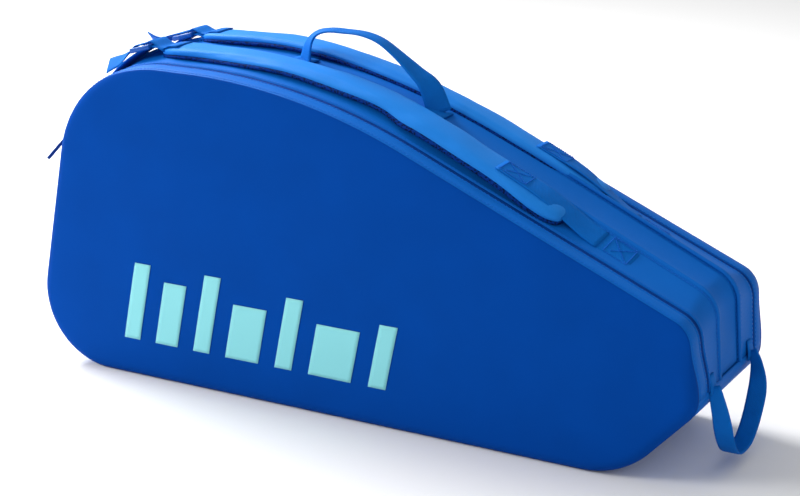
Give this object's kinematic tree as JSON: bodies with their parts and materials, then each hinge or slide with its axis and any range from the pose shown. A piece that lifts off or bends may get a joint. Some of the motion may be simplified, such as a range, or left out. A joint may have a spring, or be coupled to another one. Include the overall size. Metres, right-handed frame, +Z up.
{
  "type": "racket tournament bag",
  "caption": "Soft racket bag that stands on its base, with zipped compartments either side of a spine, padded backpack straps, a carrying handle and an end loop.",
  "frame": {"origin": "on the ground under the mid-plane, where the flat base rests", "axes": "+X along the bag from the wide head end to the nose, +Y across it towards the rear compartment, +Z up"},
  "size_m": [0.7683, 0.194, 0.378],
  "materials": {
    "panel_fabric": "smooth coated polyester, deep royal blue",
    "gusset_fabric": "fine coated polyester, royal blue",
    "strap_fabric": "soft woven polyester over foam",
    "strap_mesh": "air mesh",
    "webbing": "ribbed polypropylene webbing",
    "lining": "foam-backed grey lining",
    "zip_tape": "woven zip tape",
    "zip_coil": "nylon coil",
    "pull_metal": "blue enamel",
    "pull_cord": "braided cord tab",
    "lock_plastic": "moulded acetal, blue",
    "board": "polyethylene board"
  },
  "bodies": {
    "chassis": {"bottom_gusset": "gusset_fabric", "bottom_board": "board", "spine_panel": "panel_fabric", "handle_patches": "webbing", "loop_feet": "webbing", "front_ridge_piping": "gusset_fabric", "front_inner_gusset": "gusset_fabric", "front_divider": "lining", "front_inner_zip_tape": "zip_tape", "front_inner_zip_coil": "zip_coil", "front_lower_panel": "panel_fabric", "front_lower_lining": "lining", "front_strap_end_patch": "webbing", "front_adjuster_webbing": "webbing", "rear_ridge_piping": "gusset_fabric", "rear_inner_gusset": "gusset_fabric", "rear_divider": "lining", "rear_inner_zip_tape": "zip_tape", "rear_inner_zip_coil": "zip_coil", "rear_lower_panel": "panel_fabric", "rear_lower_lining": "lining", "rear_strap_end_patch": "webbing", "rear_adjuster_webbing": "webbing"},
    "front_shell": {"front_panel": "panel_fabric", "front_lining": "lining", "front_outer_gusset": "panel_fabric", "front_outer_zip_tape": "zip_tape", "front_outer_zip_coil": "zip_coil"},
    "front_strap": {"front_strap_pad": "strap_fabric", "front_strap_mesh": "strap_mesh", "front_strap_webbing": "webbing", "front_lock_tab": "webbing"},
    "front_lock": {"front_ladder_lock": "lock_plastic", "front_webbing_tail": "webbing"},
    "front_low_slider": {"front_low_slider": "pull_metal"},
    "front_low_pull": {"front_low_pull_ring": "pull_metal", "front_low_pull_tab": "pull_cord"},
    "front_high_slider": {"front_high_slider": "pull_metal"},
    "front_high_pull": {"front_high_pull_ring": "pull_metal", "front_high_pull_tab": "pull_cord"},
    "rear_shell": {"rear_panel": "panel_fabric", "rear_lining": "lining", "rear_outer_gusset": "panel_fabric", "rear_outer_zip_tape": "zip_tape", "rear_outer_zip_coil": "zip_coil"},
    "rear_strap": {"rear_strap_pad": "strap_fabric", "rear_strap_mesh": "strap_mesh", "rear_strap_webbing": "webbing", "rear_lock_tab": "webbing"},
    "rear_lock": {"rear_ladder_lock": "lock_plastic", "rear_webbing_tail": "webbing"},
    "rear_low_slider": {"rear_low_slider": "pull_metal"},
    "rear_low_pull": {"rear_low_pull_ring": "pull_metal", "rear_low_pull_tab": "pull_cord"},
    "rear_high_slider": {"rear_high_slider": "pull_metal"},
    "rear_high_pull": {"rear_high_pull_ring": "pull_metal", "rear_high_pull_tab": "pull_cord"},
    "carry_handle": {"carry_handle": "webbing"},
    "end_loop": {"end_loop": "webbing"}
  },
  "joints": [
    {"name": "front_panel_fold", "type": "hinge", "parent": "chassis", "child": "front_shell", "pos_m": [0, -0.097, 0.09], "axis": [1, 0, 0], "range_deg": [0, 75]},
    {"name": "front_strap_lift", "type": "hinge", "parent": "chassis", "child": "front_strap", "pos_m": [0.26288, -0.0455, 0.22181], "axis": [0, 1, 0], "range_deg": [0, 12]},
    {"name": "front_lock_tilt", "type": "hinge", "parent": "front_strap", "child": "front_lock", "pos_m": [-0.24871, -0.038, 0.35385], "axis": [0, 1, 0], "range_deg": [0, 30]},
    {"name": "front_low_slide", "type": "slide", "parent": "chassis", "child": "front_low_slider", "axis": [-0.1961, 0, -0.9806], "range_m": [0, 0.118]},
    {"name": "front_high_slide", "type": "hinge", "parent": "chassis", "child": "front_high_slider", "pos_m": [-0.21299, -0.063, 0.212], "axis": [0, 1, 0], "range_deg": [0, 22]},
    {"name": "front_low_pull_swing", "type": "hinge", "parent": "front_low_slider", "child": "front_low_pull", "pos_m": [-0.3491, -0.063, 0.22998], "axis": [0, 1, 0], "range_deg": [-3, 150]},
    {"name": "front_high_pull_swing", "type": "hinge", "parent": "front_high_slider", "child": "front_high_pull", "pos_m": [-0.34252, -0.063, 0.2566], "axis": [0, 1, 0], "range_deg": [-10, 130]},
    {"name": "rear_panel_fold", "type": "hinge", "parent": "chassis", "child": "rear_shell", "pos_m": [0, 0.097, 0.09], "axis": [-1, 0, 0], "range_deg": [0, 75]},
    {"name": "rear_strap_lift", "type": "hinge", "parent": "chassis", "child": "rear_strap", "pos_m": [0.26288, 0.0455, 0.22181], "axis": [0, 1, 0], "range_deg": [0, 12]},
    {"name": "rear_lock_tilt", "type": "hinge", "parent": "rear_strap", "child": "rear_lock", "pos_m": [-0.24871, 0.038, 0.35385], "axis": [0, 1, 0], "range_deg": [0, 30]},
    {"name": "rear_low_slide", "type": "slide", "parent": "chassis", "child": "rear_low_slider", "axis": [-0.1961, 0, -0.9806], "range_m": [0, 0.118]},
    {"name": "rear_high_slide", "type": "hinge", "parent": "chassis", "child": "rear_high_slider", "pos_m": [-0.21299, 0.063, 0.212], "axis": [0, 1, 0], "range_deg": [0, 22]},
    {"name": "rear_low_pull_swing", "type": "hinge", "parent": "rear_low_slider", "child": "rear_low_pull", "pos_m": [-0.3491, 0.063, 0.22998], "axis": [0, 1, 0], "range_deg": [-3, 150]},
    {"name": "rear_high_pull_swing", "type": "hinge", "parent": "rear_high_slider", "child": "rear_high_pull", "pos_m": [-0.34252, 0.063, 0.2566], "axis": [0, 1, 0], "range_deg": [-10, 130]},
    {"name": "handle_flop", "type": "hinge", "parent": "chassis", "child": "carry_handle", "pos_m": [-0.01269, 0, 0.34237], "axis": [0.9743, 0, -0.2251], "range_deg": [-30, 30]},
    {"name": "end_loop_swing", "type": "hinge", "parent": "chassis", "child": "end_loop", "pos_m": [0.379, 0, 0.0895], "axis": [0, -1, 0], "range_deg": [-8, 90]}
  ]
}
